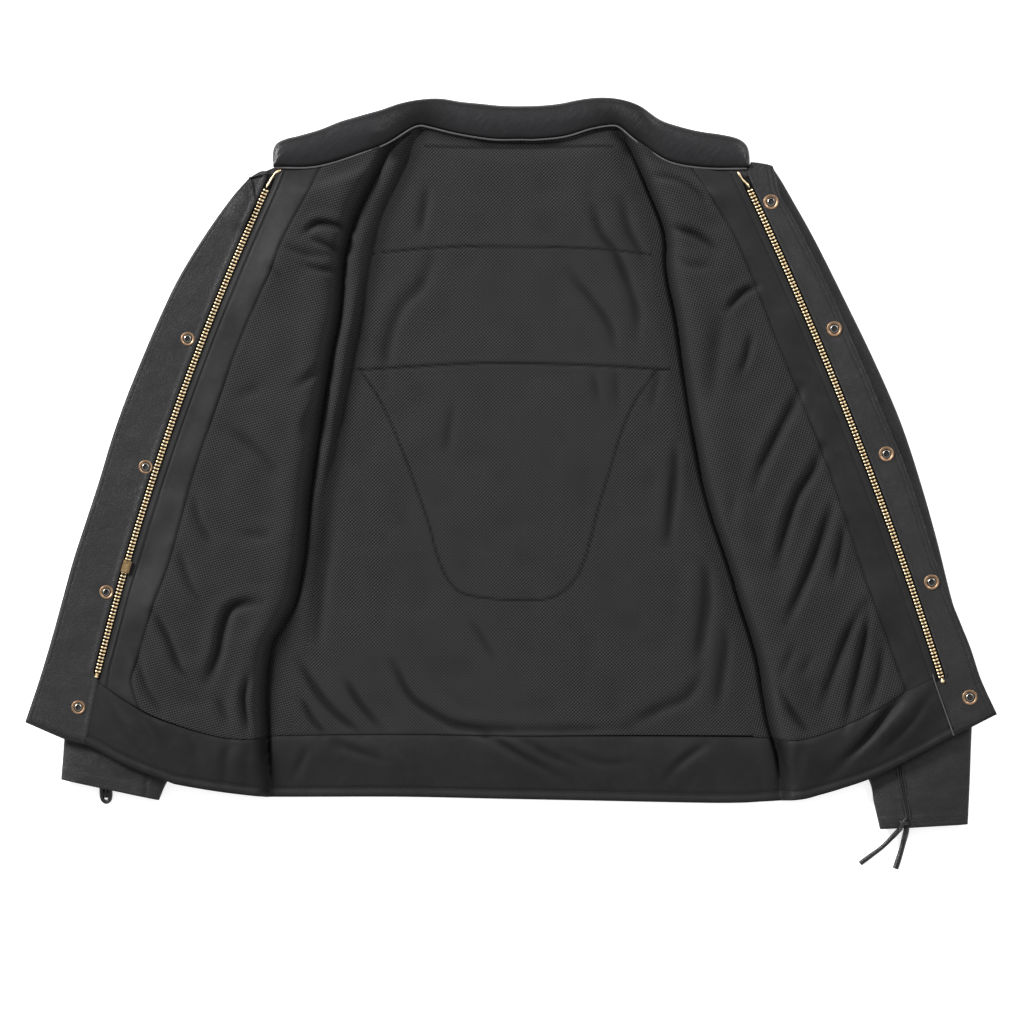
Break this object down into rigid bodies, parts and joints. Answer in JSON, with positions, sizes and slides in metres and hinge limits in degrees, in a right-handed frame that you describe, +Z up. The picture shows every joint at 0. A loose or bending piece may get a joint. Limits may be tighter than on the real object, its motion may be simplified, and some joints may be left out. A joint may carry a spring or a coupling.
{
  "type": "leather work jacket",
  "caption": "Short black leather work jacket lying open on its back, with a stand collar, brass front zip, snap flaps, mesh lining and sleeves folded under the fronts.",
  "frame": {"origin": "centre of the footprint of the opened jacket on the floor, its cuff laces aside", "axes": "+X across the jacket towards the front that carries the snap sockets, +Y from the hem to the collar, +Z up from the floor, with the lining facing up"},
  "size_m": [0.9696, 0.7748, 0.0306],
  "materials": {
    "outer_leather": "black full-grain leather, soft semi-matt sheen, fine grain",
    "facing_leather": "smooth matt black facing leather",
    "mesh_lining": "charcoal mesh lining with a raised weave",
    "zip_tape": "black woven zip tape",
    "zip_brass": "bright brass",
    "snap_copper": "antique copper-brass",
    "snap_nickel": "bright nickel",
    "lace_leather": "black leather thong"
  },
  "bodies": {
    "back": {"back_panel": "outer_leather", "side_panel_left": "outer_leather", "side_panel_right": "outer_leather", "lining_yoke": "mesh_lining", "lining_middle": "mesh_lining", "lining_pocket": "mesh_lining", "lining_lower": "mesh_lining", "hem_facing_back": "facing_leather", "collar_back": "outer_leather", "neck_piping": "outer_leather", "sleeve_left": "outer_leather", "sleeve_right": "outer_leather", "sleeve_lining_left": "mesh_lining", "sleeve_lining_right": "mesh_lining", "cuff_lace_right_long": "lace_leather", "cuff_lace_right_short": "lace_leather", "cuff_lace_left_loop": "lace_leather", "cuff_lace_left_end": "lace_leather"},
    "front_left": {"front_shell_left": "outer_leather", "facing_left": "facing_leather", "front_lining_left": "mesh_lining", "hem_facing_left": "facing_leather", "storm_flap_left": "outer_leather", "zip_tape_left": "zip_tape", "zip_teeth_left": "zip_brass", "top_stop_left": "zip_brass", "insertion_pin": "zip_brass", "collar_left": "outer_leather", "snap_eyelet_1": "snap_copper", "snap_eyelet_2": "snap_copper", "snap_eyelet_3": "snap_copper", "snap_eyelet_4": "snap_copper", "snap_eyelet_5": "snap_copper", "snap_stud_1": "snap_nickel", "snap_stud_2": "snap_nickel", "snap_stud_3": "snap_nickel", "snap_stud_4": "snap_nickel", "snap_stud_5": "snap_nickel"},
    "front_right": {"front_shell_right": "outer_leather", "facing_right": "facing_leather", "front_lining_right": "mesh_lining", "hem_facing_right": "facing_leather", "storm_flap_right": "outer_leather", "zip_tape_right": "zip_tape", "zip_teeth_right": "zip_brass", "top_stop_right": "zip_brass", "retainer_box": "zip_brass", "collar_right": "outer_leather", "snap_socket_1": "snap_copper", "snap_socket_2": "snap_copper", "snap_socket_3": "snap_copper", "snap_socket_4": "snap_copper", "snap_socket_5": "snap_copper", "snap_cap_1": "snap_copper", "snap_cap_2": "snap_copper", "snap_cap_3": "snap_copper", "snap_cap_4": "snap_copper", "snap_cap_5": "snap_copper"},
    "slider": {"zip_slider": "zip_brass"},
    "pull": {"pull_tab": "zip_brass"}
  },
  "joints": [
    {"name": "front_left_fold", "type": "hinge", "parent": "back", "child": "front_left", "pos_m": [-0.12401, 0.321, 0.015], "axis": [0.1676, 0.9859, 0], "range_deg": [0, 175]},
    {"name": "front_right_fold", "type": "hinge", "parent": "back", "child": "front_right", "pos_m": [0.11699, 0.328, 0.015], "axis": [0.1862, -0.9825, 0], "range_deg": [0, 170]},
    {"name": "zip_travel", "type": "hinge", "parent": "front_left", "child": "slider", "pos_m": [2.24472, -0.86576, -0.13999], "axis": [-0.0602, 0.0102, -0.9981], "range_deg": [-2.1, 8.2]},
    {"name": "pull_swing", "type": "hinge", "parent": "slider", "child": "pull", "pos_m": [-0.38248, -0.09951, 0.02978], "axis": [-0.9585, 0.2785, 0.0607], "range_deg": [0, 170]}
  ]
}
